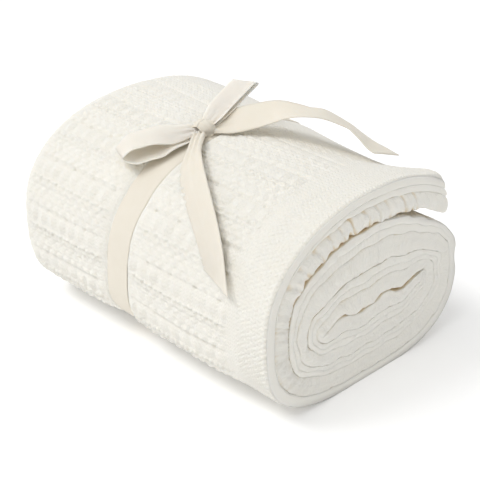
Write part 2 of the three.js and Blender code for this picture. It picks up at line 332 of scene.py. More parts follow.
def scale_rows(x, length, across, along):
    relief = 0
    for scale_row, place in enumerate(SCALE_ROWS):
        odd = scale_row % 2
        off, row = from_nearest(along - place, REPEAT)
        slide = across + unevenness(x, length, SCALE_DRIFT, scale_row + 0.4)
        side, number = from_nearest(slide - odd * SCALE_PITCH / 2, SCALE_PITCH)
        side = side + SCALE_LEAN * (1 - 2 * odd) * off
        scale = mound(np.hypot(side / SCALE_HALF[0], off / SCALE_HALF[1]))
        relief = relief + SCALE_HEIGHT * uneven_size(number, 3 * row + scale_row) * scale
    return relief


def knit_relief(x, length):
    """Height of the knit's face over its mean plane, at x along the roll and length from the flap's end."""
    across = x + unevenness(x, length, DRIFT_ACROSS, 1.0)
    along = length - EYELET_ROW + unevenness(x, length, DRIFT_ALONG, 2.0)
    relief = eyelet_rows(x, across, along) + leaf_rows(across, along) + twin_cords(across, along)
    relief = relief + scale_rows(x, length, across, along) + unevenness(x, length, LUMPS, 5.0)
    edge = np.minimum(NEAR_END - x, length)
    body = smoothstep(edge, BORDER + PLAIN_STRIP / 2, BORDER + PLAIN_STRIP + BORDER_FADE)
    body = body * smoothstep(x, FAR_STRAIGHT - FOLD_START, FAR_STRAIGHT + FOLD_START)
    border = 1 - smoothstep(edge, BORDER - BORDER_FADE, BORDER)
    seed = np.cos(2 * math.pi * (NEAR_END - x) / SEED_PERIOD) * np.cos(2 * math.pi * length / SEED_PERIOD)
    return relief * body + SEED_HEIGHT * seed * border + unevenness(x, length, UNEVEN, 3.0)


# The band's way round the roll, by section angle from the back over the top and the front to the
# underside, and how deep it draws the knit in.
BAND_ANGLES = np.radians([0, 60, 90, 120, 147, 174, 200, 230, 270, 320, 360])
BAND_XS = np.array([-20, -20, -17, -11, -9, -12, -18, -22, -24, -22, -20]) / 1000
WAIST = 0.0024
GROOVE_SHARE = 0.55
GROOVE_FLAT = 0.0106
GROOVE_RISE = 0.0126
PRESSED_TO = 0.0165
WAIST_FLAT = 0.0115
WAIST_FADE = 0.030


def band_x(angle):
    return np.interp(np.mod(angle, 2 * math.pi), BAND_ANGLES, BAND_XS)


def drawn_in(away):
    """Share of the waist's depth at a distance from the band: a groove as wide as it in a softer dip."""
    groove = 1 - smoothstep(away, GROOVE_FLAT, GROOVE_RISE)
    dip = 1 - smoothstep(away, WAIST_FLAT, WAIST_FADE)
    return GROOVE_SHARE * groove + (1 - GROOVE_SHARE) * dip


# At the near end the layers crowd together and end bluntly side by side, the outer one rounded off. The
# faces of the layers move from their even depths to those of the inner turns, the outer turn or the flap.
LAYER_FACES = np.array([0, 2, 2, 3, 3, 4]) * LAYER + np.array([1, -1, 1, -1, 1, -1]) * LAYER_GAP / 2
INNER_CROWD = np.array([0.02, 13.30, 13.34, 18.00, 18.04, 22.78]) / 1000
OUTER_CROWD = np.array([0.02, 14.95, 15.0, 15.55, 15.6, 22.78]) / 1000
FLAP_CROWD = np.array([0.05, 12.0, 12.1, 16.4, 16.5, 22.5]) / 1000
OUTER_CROWD_TURNS = (3.7, 4.3)
FLAP_CROWD_TURNS = (5.15, 5.5)
CROWD_FROM = 0.030
CROWD_TO = 0.010
BLUNT_FROM = LAYER
BLUNT_TO = 0.020
BLUNT_CLOSED = 0.03
BLUNT_OPEN = 0.15
OPEN_SIDE = math.radians(145)
OPEN_SIDE_FADE = (-0.2, 0.7)
EDGE_ROUND = 0.0028
EDGE_FINE = 0.009
CORNER_RISE = 0.0032
CORNER_PLACES = (0.001, 0.010, 0.012, 0.024)
CORNER_ROUND = 0.022


def open_side(turns):
    """Share from 0 below and behind, where the layers press together, to 1 at the front and the top."""
    return smoothstep(np.cos(-math.pi * turns - OPEN_SIDE), *OPEN_SIDE_FADE)


def blunted(x, turns):
    """Draws rounded edges out towards the near end, most of all where they press together."""
    blunt = BLUNT_CLOSED + BLUNT_OPEN * open_side(turns)
    pull = np.interp(NEAR_END - x, (0, BLUNT_FROM, BLUNT_TO), (0, BLUNT_FROM, 0))
    return x + pull * (1 - blunt)


def near_end_share(x):
    return smoothstep(x, NEAR_END - CROWD_FROM, NEAR_END - CROWD_TO)


def crowded(x, turns, depth):
    """Depth in the pack after the layers have crowded together at the near end."""
    outer = smoothstep(turns, *OUTER_CROWD_TURNS)
    flap = smoothstep(turns, *FLAP_CROWD_TURNS)
    shift = np.interp(depth, LAYER_FACES, INNER_CROWD - LAYER_FACES)
    shift = shift + outer * (np.interp(depth, LAYER_FACES, OUTER_CROWD - LAYER_FACES) - shift)
    shift = shift + flap * (np.interp(depth, LAYER_FACES, FLAP_CROWD - LAYER_FACES) - shift)
    return depth + near_end_share(x) * shift


def edge_shape(x, turns, lengths):
    """Height that the outer layer's rounded edge and the flap's full corner add to its face."""
    still_round = np.clip(1 - (NEAR_END - blunted(x, turns)) / EDGE_ROUND, 0, 1)
    rounding = EDGE_ROUND * (1 - np.sqrt(1 - still_round ** 2))
    along = rise_and_fall(NEAR_END - x, CORNER_PLACES)
    return CORNER_RISE * along * (1 - smoothstep(lengths, 0, CORNER_ROUND)) - rounding


# The sheet itself: a centreline across the pack, given thickness and carried along the winding.
CAP_STEPS = 6
OUTER_FOLD_STEPS = 22
OUTER_BACK_EVERY = 12
SEAM_GAP = 1e-6


def fold_arc(x, from_depth, to_depth, reach, steps):
    """Centreline points of a fold that reaches out by reach between two layers."""
    turn = np.linspace(0, math.pi, steps + 1)[1:-1]
    middle, half = (from_depth + to_depth) / 2, (from_depth - to_depth) / 2
    return np.column_stack([x + reach * np.sin(turn), middle + half * np.cos(turn)])


def straight_run(from_x, to_x, depth, step):
    count = max(1, round(abs(to_x - from_x) / step))
    xs = np.linspace(from_x, to_x, count + 1)
    return np.column_stack([xs, np.full_like(xs, depth)])


def sheet_outline(line, back_every):
    """Closed section of a sheet from its centreline: along one face, round the end and back on the other.

    Gives the centre of each point, the way from it to the surface, the length run along the line, and how
    much the point belongs to the first face. back_every thins out the second face.
    """
    along = np.gradient(line, axis=0)
    along /= np.linalg.norm(along, axis=1, keepdims=True)
    out = np.column_stack([along[:, 1], -along[:, 0]])
    run = run_lengths(line)
    kept = np.unique(np.concatenate([np.arange(0, len(line), back_every), [len(line) - 1]]))[::-1]
    turn = np.linspace(0, math.pi, CAP_STEPS + 1)[1:-1, None]
    end_cap = out[-1] * np.cos(turn) + along[-1] * np.sin(turn)
    start_cap = -out[0] * np.cos(turn) - along[0] * np.sin(turn)
    caps = len(turn)
    outline = {
        "centre": [line, np.repeat(line[-1:], caps, 0), line[kept], np.repeat(line[:1], caps, 0), line[:1]],
        "way": [out, end_cap, -out[kept], start_cap, out[:1]],
        "run": [run, np.full(caps, run[-1]), run[kept], np.zeros(caps), run[:1]],
        "face": [np.ones(len(line)), np.zeros(caps + len(kept) + caps), np.ones(1)],
    }
    return {key: np.concatenate(stretches) for key, stretches in outline.items()}


def section_points(outline, reach):
    """x and depth of an outline whose surface lies reach away from its centreline."""
    points = outline["centre"] + outline["way"] * reach[..., None]
    return points[..., 0], points[..., 1]


def end_fullness(lengths):
    """How full a sheet is at lengths from the flap's end, where it is rounded off."""
    return np.sqrt(1 - np.clip(1 - lengths / (CLOTH / 2), 0, 1) ** 2)


def finished(name, bm):
    mesh = bpy.data.meshes.new(name)
    bm.to_mesh(mesh)
    bm.free()
    mesh.shade_smooth()
    piece = bpy.data.objects.new(name, mesh)
    bpy.context.scene.collection.objects.link(piece)
    return piece


def placed_grid(places, plan):
    """Faces over rows of places, with their flat plan as UV map."""
    rows, columns = places.shape[:2]
    bm = bmesh.new()
    bmesh.ops.create_grid(bm, x_segments=columns - 1, y_segments=rows - 1, size=1)
    bm.verts.ensure_lookup_table()
    for vert, place in zip(bm.verts, places.reshape(-1, 3)):
        vert.co = place
    uv = bm.loops.layers.uv.new("cloth")
    flat_plan = plan.reshape(-1, 2)
    for face in bm.faces:
        for loop in face.loops:
            loop[uv].uv = flat_plan[loop.vert.index]
    return bm


def closed_sheet(name, places, plan, inside):
    """Closed mesh of a sheet; inside is the share of painted warm shade at each place, from 0 to 1, where
    it lies in between the layers.
    """
    rows, columns = places.shape[:2]
    bm = placed_grid(places, plan)
    between = bm.verts.layers.float.new("inside")
    for vert, share in zip(bm.verts, np.broadcast_to(inside, (rows, columns)).ravel()):
        vert[between] = share
    seam = [vert for vert in bm.verts if vert.index % columns in (0, columns - 1)]
    bmesh.ops.remove_doubles(bm, verts=seam, dist=SEAM_GAP)
    rims = [edge for edge in bm.edges if edge.is_boundary]
    for edge in rims:
        edge.smooth = False
    caps = bmesh.ops.holes_fill(bm, edges=rims, sides=0)["faces"]
    bmesh.ops.triangulate(bm, faces=caps, quad_method="BEAUTY", ngon_method="EAR_CLIP")
    bmesh.ops.recalc_face_normals(bm, faces=bm.faces)
    return finished(name, bm)


OUTER_LINE = np.concatenate([
    straight_run(NEAR_END - CLOTH / 2, NEAR_END - EDGE_FINE, OUTERMOST, STITCH / 2)[:-1],
    straight_run(NEAR_END - EDGE_FINE, FAR_STRAIGHT, OUTERMOST, STITCH),
    fold_arc(FAR_STRAIGHT, OUTERMOST, INNERMOST, CLOTH / 2 - FOLD_START, OUTER_FOLD_STEPS),
    straight_run(FAR_STRAIGHT, FAR_STRAIGHT + TUCK, INNERMOST, 3 * STITCH),
])
outer_width = float(sheet_outline(OUTER_LINE, OUTER_BACK_EVERY)["run"].max())

# The knit's relief is pressed smoother on top and underneath, and flat under the band and the flap.
SMOOTHER_TOP = 0.55
SMOOTHER_TURNS = (5.36, 5.56)
SMOOTHER_BOTTOM = 0.8
BOTTOM_TURN = 4.5
BOTTOM_FADE = (0.2, 0.34)
UNDER_FLAP = OUTER_TURN + 0.15


def outer_layer(name, lengths):
    """A stretch of the outermost layer with its knit relief, as a closed sheet."""
    outline = sheet_outline(OUTER_LINE, OUTER_BACK_EVERY)
    run = outline["run"]
    centre_x = outline["centre"][:, 0]
    lengths = lengths[:, None]
    turns = half_turns_at(lengths)
    relief = knit_relief(NEAR_END - CLOTH / 2 - run, lengths)
    relief = relief * (1 - SMOOTHER_TOP * smoothstep(turns, *SMOOTHER_TURNS))
    from_below = np.abs(turns - BOTTOM_TURN)
    relief = relief * (1 - SMOOTHER_BOTTOM * (1 - smoothstep(from_below, *BOTTOM_FADE)))
    from_band = np.abs(centre_x - band_x(-math.pi * turns))
    relief = relief * smoothstep(from_band, GROOVE_RISE, PRESSED_TO) - WAIST * drawn_in(from_band)
    relief = relief + edge_shape(centre_x, turns, lengths)
    relief = outline["face"] * smoothstep(turns, OUTER_TURN, UNDER_FLAP) * relief
    x, depth = section_points(outline, end_fullness(lengths) * (CLOTH / 2 + relief))
    places = roll_point(blunted(x, turns), turns, crowded(x, turns, depth))
    plan = np.stack(np.broadcast_arrays(run, lengths), axis=-1)
    return closed_sheet(name, places, plan, 0.0)


# Rows of the sheet along the winding, close-set where the flap's end is rounded off.
UNDERSIDE = 4.585
END_ROWS = CLOTH / 2 * np.array([0.03, 0.15, 0.4, 0.7, 1.0])
underside_length = float(length_at(np.array(UNDERSIDE)))
first_row = math.ceil(END_ROWS[-1] / STITCH) * STITCH
face_rows = np.arange(first_row, underside_length, STITCH)
blanket_face = outer_layer("blanket_face", np.concatenate([END_ROWS, face_rows, [underside_length]]))


def fill_inputs(tree, node, values):
    """Link or set a node's inputs by their names."""
    for label, value in values.items():
        if isinstance(value, bpy.types.NodeSocket):
            tree.links.new(value, node.inputs[label])
        else:
            node.inputs[label].default_value = value
    return node


def new_node(tree, kind, values):
    return fill_inputs(tree, tree.nodes.new(kind), values)


def group_node(tree, group, values):
    node = tree.nodes.new("ShaderNodeGroup")
    node.node_tree = group
    return fill_inputs(tree, node, values)


def mixed_colour(tree, factor, first, second):
    node = tree.nodes.new("ShaderNodeMix")
    node.data_type = "RGBA"
    fill_inputs(tree, node, {"Factor": factor, "A": first, "B": second})
    return node.outputs["Result"]


def math_node(tree, operation, first, second=0.0):
    """Math node whose inputs are sockets or numbers, and its output socket."""
    node = tree.nodes.new("ShaderNodeMath")
    node.operation = operation
    fill_inputs(tree, node, {0: first, 1: second})
    return node.outputs[0]


def shader_group(name, inputs, outputs):
    """New shader node group with named sockets, its entry and its exit."""
    group = bpy.data.node_groups.new(name, "ShaderNodeTree")
    for label, kind in inputs.items():
        group.interface.new_socket(name=label, in_out="INPUT", socket_type=kind)
    for label, kind in outputs.items():
        group.interface.new_socket(name=label, in_out="OUTPUT", socket_type=kind)
    return group, group.nodes.new("NodeGroupInput"), group.nodes.new("NodeGroupOutput")


STITCH_SLANT = 1.2
STITCH_ROUND = 0.5


def stitch_group():
    """Rows of V-shaped stitches over a flat plan in metres, as a height from 0 to 1."""
    group, entry, leave = shader_group(
        "knit_stitches",
        {"Plan": "NodeSocketVector", "Wale": "NodeSocketFloat", "Course": "NodeSocketFloat"},
        {"Height": "NodeSocketFloat"},
    )
    axes = group.nodes.new("ShaderNodeSeparateXYZ")
    group.links.new(entry.outputs["Plan"], axes.inputs[0])
    wale = math_node(group, "DIVIDE", axes.outputs[0], entry.outputs["Wale"])
    course = math_node(group, "DIVIDE", axes.outputs[1], entry.outputs["Course"])
    leg = math_node(group, "PINGPONG", wale, 0.5)
    climb = math_node(group, "ADD", course, math_node(group, "MULTIPLY", leg, STITCH_SLANT))
    row_wave = math_node(group, "SINE", math_node(group, "MULTIPLY", climb, math.pi))
    column_wave = math_node(group, "SINE", math_node(group, "MULTIPLY", wale, 2 * math.pi))
    rows = math_node(group, "ABSOLUTE", row_wave)
    columns = math_node(group, "POWER", math_node(group, "ABSOLUTE", column_wave), STITCH_ROUND)
    group.links.new(math_node(group, "MULTIPLY", rows, columns), leave.inputs["Height"])
    return group


def mottle_group():
    """Cloudy change of a cotton's colour between its light and its shade."""
    group, entry, leave = shader_group(
        "cotton_mottle",
        {
            "Place": "NodeSocketVector",
            "Scale": "NodeSocketFloat",
            "Detail": "NodeSocketFloat",
            "Light": "NodeSocketColor",
            "Shade": "NodeSocketColor",
        },
        {"Colour": "NodeSocketColor"},
    )
    clouds = new_node(group, "ShaderNodeTexNoise", {
        "Vector": entry.outputs["Place"],
        "Scale": entry.outputs["Scale"],
        "Detail": entry.outputs["Detail"],
    })
    colour = mixed_colour(group, clouds.outputs[0], entry.outputs["Shade"], entry.outputs["Light"])
    group.links.new(colour, leave.inputs["Colour"])
    return group


KNIT_STITCHES = stitch_group()
COTTON_MOTTLE = mottle_group()
KNIT_LIGHT = (0.86, 0.84, 0.778, 1)
KNIT_SHADE = (0.84, 0.815, 0.743, 1)
# Painted warm shade for the knit in between the layers, standing in for the shade in the gaps.
PAINTED_GAP_SHADE = (0.78, 0.64, 0.42, 1)
WALE = 0.0036
COURSE = 0.0027


def knit_material(name, stitch_depth):
    """Ivory knit with bumps for its stitches and fuzz, and painted warm shade in between the layers."""
    material = bpy.data.materials.new(name)
    material.use_nodes = True
    tree = material.node_tree
    where = tree.nodes.new("ShaderNodeTexCoord").outputs["Object"]
    plan = tree.nodes.new("ShaderNodeUVMap")
    plan.uv_map = "cloth"
    mottle = group_node(tree, COTTON_MOTTLE, {
        "Place": where,
        "Scale": 60,
        "Detail": 4,
        "Light": KNIT_LIGHT,
        "Shade": KNIT_SHADE,
    })
    # The "inside" attribute mixes in the painted warm shade between the layers.
    inside = tree.nodes.new("ShaderNodeAttribute")
    inside.attribute_name = "inside"
    colour = mixed_colour(tree, inside.outputs["Fac"], mottle.outputs["Colour"], PAINTED_GAP_SHADE)
    stitches = group_node(tree, KNIT_STITCHES, {"Plan": plan.outputs[0], "Wale": WALE, "Course": COURSE})
    stitch_bump = new_node(tree, "ShaderNodeBump", {
        "Strength": 0.5,
        "Distance": stitch_depth,
        "Height": stitches.outputs["Height"],
    })
    fuzz = new_node(tree, "ShaderNodeTexNoise", {"Vector": where, "Scale": 900, "Detail": 3})
    fuzz_bump = new_node(tree, "ShaderNodeBump", {
        "Strength": 0.35,
        "Distance": 0.0004,
        "Height": fuzz.outputs[0],
        "Normal": stitch_bump.outputs[0],
    })
    fill_inputs(tree, tree.nodes["Principled BSDF"], {
        "Base Color": colour,
        "Roughness": 0.92,
        "Specular IOR Level": 0.15,
        "Sheen Weight": 0.12,
        "Sheen Roughness": 0.6,
        "Subsurface Weight": 0.35,
        "Subsurface Radius": (1, 0.92, 0.8),
        "Subsurface Scale": 0.0022,
        "Normal": fuzz_bump.outputs[0],
    })
    return material


def dress_cloth(piece, material):
    piece.data.materials.append(material)
    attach(piece, "root")
    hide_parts("blanket")


IVORY_KNIT = knit_material("ivory_knit", stitch_depth=0.0006)
dress_cloth(blanket_face, IVORY_KNIT)


# Blanket, outer layer down the back: the same knit and the same layer, which runs on from under the
# roll up the back. It ends below the flap, where the flap presses it smooth.
back_end = float(length_at(np.array(OUTER_TURN)))
back_rows = np.arange(underside_length, back_end, STITCH)
blanket_back = outer_layer("blanket_back", np.append(back_rows, back_end))
dress_cloth(blanket_back, IVORY_KNIT)


# Blanket, inner layers of the outer turn: the same knit, with the hidden edge of the cloth and the near
# fold of its other half. The fold is crimped, and waves in and out under the outer layer.
# Where the painted warm shade lies: back from the near end, and away from the flap's end.
PAINTED_SHADE_FROM_END = (0.0005, 0.0024, 0.010, 0.016)
PAINTED_SHADE_FROM_FLAP = 0.016
EDGE_STEP = 0.0006
NEAR_DENSE = 0.012
DENSE_STEP = 0.0013
LOOSE_STEP = 0.024
WINDING_STEP = 0.0013
FOLD_NEAR = NEAR_END - LAYER
NEAR_FOLD_STEPS = 7
INNER_FOLD_STEPS = 6
INNER_REACH = CLOTH * 1.5 + LAYER_GAP - FOLD_START
LAYER_EDGE = NEAR_END - EDGE_STEP - CLOTH / 2
END_CLEAR = 0.9 * CLOTH / 2


def layer_run(from_x, to_x, depth):
    """Straight centreline of a layer, close-set near the near end and loose elsewhere."""
    turn_x = NEAR_END - NEAR_DENSE - LAYER
    loose = straight_run(min(from_x, to_x), turn_x, depth, LOOSE_STEP)
    dense = straight_run(turn_x, max(from_x, to_x), depth, DENSE_STEP)[1:]
    points = np.concatenate([loose, dense])
    return points if from_x < to_x else points[::-1]


def near_fold(from_depth, to_depth):
    return fold_arc(FOLD_NEAR, from_depth, to_depth, LAYER - CLOTH / 2, NEAR_FOLD_STEPS)


INNER_FOLD = fold_arc(FAR_STRAIGHT, THIRD, SECOND, INNER_REACH, INNER_FOLD_STEPS)
UNDER_LINE = np.concatenate([
    layer_run(LAYER_EDGE, FAR_STRAIGHT, THIRD),
    INNER_FOLD,
    layer_run(FAR_STRAIGHT, FOLD_NEAR, SECOND),
    near_fold(SECOND, INNERMOST),
    layer_run(FOLD_NEAR, FAR_STRAIGHT + TUCK + CLOTH, INNERMOST),
])

# The fold's puckers: scallops along its inner side at the top, creases across it, and crimps at the front.
PUCKER_LENGTH = 0.0125
PUCKER_DRIFT = ((1.7, 0.017), (0.6, 0.0061))
PUCKER_TURNS = (4.95, 5.2, 5.62, 5.72)
PUCKER_FROM = 0.0080
PUCKER_TO = 0.003
PUCKER_MEAN = 0.85
PUCKER_SPREAD = 0.4
PUCKER_SPREAD_LENGTH = 0.009
SCALLOP = 0.0056
CREASE = 0.0017
CREASE_SHIFT = 1.1
CREASE_LEAN = 2.0
CREASE_SHARP = 3
CRIMP_LENGTH = 0.0031
CRIMP_DEPTH = 0.0005
CRIMP_TURNS = (4.55, 4.75, 5.0, 5.15)
EDGE_WAVE = 0.0010
EDGE_WAVE_LENGTH = 0.013
EDGE_WAVE_SHIFT = 3.1
CRUMPLE = 0.0012
CRUMPLE_LENGTH = 0.0015
PUFF = 0.0006
PUFF_LENGTH = 0.0034
PUFF_FADE = 0.12


def pack_layers(name, line, lengths, half_turns, puckered):
    """Folded layers of the pack over a stretch of its winding, as one closed sheet."""
    outline = sheet_outline(line, 1)
    lengths = lengths[:, None]
    turns = half_turns[:, None]
    x, depth = section_points(outline, end_fullness(lengths) * CLOTH / 2)
    layer = np.maximum(1, np.floor(depth / LAYER))
    near = near_end_share(x)
    in_fold = puckered * near * (layer < 2)
    depth = crowded(x, turns, depth)

    inner_side = np.clip(1 - depth / (2 * LAYER), 0, 1)
    phase = 2 * math.pi * lengths / PUCKER_LENGTH
    for size, wave in PUCKER_DRIFT:
        phase = phase + size * np.sin(lengths / wave)
    pucker = PUCKER_MEAN + PUCKER_SPREAD * wobble(lengths / PUCKER_SPREAD_LENGTH, 0, 2.0)
    pucker = in_fold * rise_and_fall(turns, PUCKER_TURNS) * pucker
    pucker = pucker * smoothstep(x, NEAR_END - PUCKER_FROM, NEAR_END - PUCKER_TO)
    depth = depth + pucker * SCALLOP * inner_side * (0.5 + 0.5 * np.sin(phase))
    crease = np.maximum(0, np.sin(phase + CREASE_SHIFT + CREASE_LEAN * inner_side)) ** CREASE_SHARP
    crimp = in_fold * rise_and_fall(turns, CRIMP_TURNS) * np.sin(2 * math.pi * lengths / CRIMP_LENGTH)

    edge_wave = open_side(turns) * wobble(lengths / EDGE_WAVE_LENGTH, EDGE_WAVE_SHIFT * layer, 6.0)
    crumple = wobble(lengths / CRUMPLE_LENGTH, depth / CRUMPLE_LENGTH, 8.0)
    x = x + near * (EDGE_WAVE * edge_wave + CRUMPLE * crumple)
    puff = near * open_side(turns) * smoothstep(np.abs(turns - OUTER_TURN), 0, PUFF_FADE)
    puff = puff * wobble(lengths / PUFF_LENGTH, depth / PUFF_LENGTH, 9.0)
    x = blunted(x, turns) - pucker * CREASE * crease + CRIMP_DEPTH * crimp + PUFF * puff
    plan = np.stack(np.broadcast_arrays(outline["run"], lengths), axis=-1)
    # Painted warm shade on the layers where they lie hidden in between one another.
    inside = rise_and_fall(NEAR_END - x, PAINTED_SHADE_FROM_END) * smoothstep(lengths, 0, PAINTED_SHADE_FROM_FLAP)
    return closed_sheet(name, roll_point(x, turns, depth), plan, inside)


def winding_rows(start, end, rounded):
    """Lengths from the end of a stretch of winding, and the half turns there, measured mid pack."""
    turns, lengths = winding_table(start, end, PACK / 2)
    rows = np.linspace(0, lengths[-1], round(lengths[-1] / WINDING_STEP) + 1)
    if rounded:
        rows = np.concatenate([END_ROWS[:-1], rows[rows > END_CLEAR]])
    return rows, np.interp(rows, lengths, turns)


under_rows, under_turns = winding_rows(OUTER_TURN, OUTER_END, rounded=True)
under_width = float(sheet_outline(UNDER_LINE, 1)["run"].max())
under_length = float(under_rows[-1])
blanket_under = pack_layers("blanket_under", UNDER_LINE, under_rows, under_turns, puckered=1.0)
INNER_KNIT = knit_material("ivory_knit_inner", stitch_depth=0.0003)
dress_cloth(blanket_under, INNER_KNIT)


# Blanket, inner turns: the rest of the same knit pack, all four layers, wound round its own flattened
# core. The outer turn holds it together.
INNER_END = -0.05
TURN_FOLD_STEPS = 16
TURN_LINE = np.concatenate([
    layer_run(NEAR_END - CLOTH / 2, FAR_STRAIGHT, OUTERMOST),
    fold_arc(FAR_STRAIGHT, OUTERMOST, INNERMOST, CLOTH / 2 - FOLD_START, TURN_FOLD_STEPS),
    layer_run(FAR_STRAIGHT, FOLD_NEAR, INNERMOST),
    near_fold(INNERMOST, SECOND),
    layer_run(FOLD_NEAR, FAR_STRAIGHT, SECOND),
    INNER_FOLD[::-1],
    layer_run(FAR_STRAIGHT, LAYER_EDGE, THIRD),
])
turn_rows, turn_turns = winding_rows(INNER_END, OUTER_TURN, rounded=False)
turn_width = float(sheet_outline(TURN_LINE, 1)["run"].max())
turn_places = under_length + turn_rows
blanket_turns = pack_layers("blanket_turns", TURN_LINE, turn_places, turn_turns, puckered=0.0)
dress_cloth(blanket_turns, INNER_KNIT)


# Ribbon band: a bare woven cotton tape in cream, pulled taut once round the roll, from the knot and back
# to it. It lies in the groove that it presses into the knit, and bridges the hollow below the flap.
TAPE = 0.022
TAPE_THICK = 0.0007
TAPE_CLEARANCE = 0.0003
BAND_STEP = 0.0016
BAND_ACROSS = 14
BAND_CROWN = 0.0003
BAND_SAMPLES = 400
FLAP_SAMPLES = 8
BAND_SMOOTHINGS = 3
KNOT_X = -0.014
KNOT_Y = -0.020
KNOT_HEIGHT = 0.007
TAPE_LIGHT = (0.80, 0.75, 0.655, 1)
TAPE_SHADE = (0.775, 0.72, 0.615, 1)
TAPE_WALE = 0.0012
TAPE_COURSE = 0.0006


def sampled(places, lengths, table):
    """Columns of a table read at places along its lengths."""
    return np.stack([np.interp(places, lengths, column) for column in table.T], axis=-1)


def band_outline():
    """The hull of the roll's section under the band, as y and z, opened out by the tape's clearance."""
    turns = np.linspace(OUTER_TURN, OUTER_END, BAND_SAMPLES)
    xs = band_x(-math.pi * turns)
    outer = roll_point(xs, turns, PACK - LAYER_GAP / 2 - WAIST)[:, 1:]
    depths = np.linspace(0, PACK - WAIST, FLAP_SAMPLES)
    flap = roll_point(np.full(FLAP_SAMPLES, BAND_XS[0]), np.full(FLAP_SAMPLES, OUTER_END), depths)[:, 1:]
    points = [Vector(point) for point in np.concatenate([outer, flap])]
    hull = np.array([points[i][:] for i in convex_hull_2d(points)])
    ring = np.concatenate([hull, hull[:1]])
    lengths = run_lengths(ring)
    steps = np.linspace(0, lengths[-1], round(lengths[-1] / BAND_STEP) + 1)
    even = sampled(steps, lengths, ring)[:-1]
    for _ in range(BAND_SMOOTHINGS):
        even = (np.roll(even, 1, axis=0) + 2 * even + np.roll(even, -1, axis=0)) / 4
    along = np.roll(even, -1, axis=0) - np.roll(even, 1, axis=0)
    along /= np.linalg.norm(along, axis=1, keepdims=True)
    normal = np.column_stack([along[:, 1], -along[:, 0]])
    normal *= np.sign(np.sum(normal * (even - even.mean(axis=0)), axis=1))[:, None]
    nearest = np.argmin(np.linalg.norm(even[:, None] - outer[None], axis=-1), axis=1)
    return even + normal * TAPE_CLEARANCE, normal, xs[nearest]


def tape_piece(name, places, plan):
    """Closed tape from rows of places across its upper face."""
    bm = placed_grid(places, plan)
    bmesh.ops.solidify(bm, geom=bm.faces[:], thickness=TAPE_THICK)
    bmesh.ops.recalc_face_normals(bm, faces=bm.faces)
    return finished(name, bm)


def tape_material(name, light, shade, through, depth):
    """Matt cream cotton tape; through is how much light enters it, and depth how far that light goes."""
    material = bpy.data.materials.new(name)
    material.use_nodes = True
    tree = material.node_tree
    where = tree.nodes.new("ShaderNodeTexCoord").outputs["Object"]
    plan = tree.nodes.new("ShaderNodeUVMap")
    plan.uv_map = "cloth"
    mottle = group_node(tree, COTTON_MOTTLE, {
        "Place": where,
        "Scale": 140,
        "Detail": 3,
        "Light": light,
        "Shade": shade,
    })
    weave = group_node(tree, KNIT_STITCHES, {
        "Plan": plan.outputs[0],
        "Wale": TAPE_WALE,
        "Course": TAPE_COURSE,
    })
    weave_bump = new_node(tree, "ShaderNodeBump", {
        "Strength": 0.25,
        "Distance": 0.0002,
        "Height": weave.outputs["Height"],
    })
    fill_inputs(tree, tree.nodes["Principled BSDF"], {
        "Base Color": mottle.outputs["Colour"],
        "Roughness": 0.75,
        "Specular IOR Level": 0.25,
        "Sheen Weight": 0.08,
        "Subsurface Weight": through,
        "Subsurface Radius": (0.8, 0.9, 1),
        "Subsurface Scale": depth,
        "Normal": weave_bump.outputs[0],
    })
    return material


def dress_tape(piece, material):
    piece.data.materials.append(material)
    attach(piece, "root")
    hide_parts("ribbon")


# The knot sits on top of the band at KNOT_Y, where the band starts and ends.
band_line, band_normal, band_middle = band_outline()
under_knot = np.argmin(np.abs(band_line[:, 0] - KNOT_Y - ROLL_MIDDLE[1]) - band_line[:, 1])
band_top = float(band_line[under_knot, 1] + TAPE_THICK)
KNOT = np.array([KNOT_X + ROLL_MIDDLE[0], KNOT_Y + ROLL_MIDDLE[1], band_top + KNOT_HEIGHT / 2])
start = int(np.argmin(np.hypot(band_line[:, 0] - KNOT[1], band_line[:, 1] - KNOT[2])))


def from_start(values):
    return np.concatenate([np.roll(values, -start, axis=0), values[start:start + 1]])


band_line = from_start(band_line)
band_normal = from_start(band_normal)
band_middle = from_start(band_middle) + ROLL_MIDDLE[0]
side = np.linspace(-1, 1, BAND_ACROSS + 1)
crown = BAND_CROWN * (1 - side ** 2)
band_places = np.empty((len(band_line), BAND_ACROSS + 1, 3))
band_places[..., 0] = band_middle[:, None] + side * TAPE / 2
band_places[..., 1:] = band_line[:, None, :] + band_normal[:, None, :] * crown[None, :, None]
band_length = float(np.linalg.norm(np.diff(band_line, axis=0), axis=1).sum())
band_run = np.linspace(0, band_length, len(band_line))
band_plan = np.stack(np.broadcast_arrays(side * TAPE / 2, band_run[:, None]), axis=-1)
ribbon_band = tape_piece("ribbon_band", band_places, band_plan)
TAUT_TAPE = tape_material("cream_tape", TAPE_LIGHT, TAPE_SHADE, through=0, depth=0.001)
dress_tape(ribbon_band, TAUT_TAPE)


# Ribbon bow: two loops and two slant-cut tails of the same tape, gathered under the knot. The back tail
# stands away from the roll, and the front tail lies on its face.
LOOP_TOP = (0.74, -0.62, -0.25)
LOOP_MIDDLE = (0.85, -0.5, -0.12)
LOOP_END = (0.9, -0.42, 0.05)
ALONG_ROLL = (0.99, 0.05, 0.13)
STANDING = (-0.73, 0.53, 0.43)
MM = 0.001
TAPE_STEP = 0.0015
TAPE_ACROSS = 14
SPLINE_STEPS = 600
PLEATS = 3
PLEAT = 0.0014
CUP_MIDDLE = 0.33
TAIL_CUT = 0.011
BACK_TAIL_CUT = 0.0045

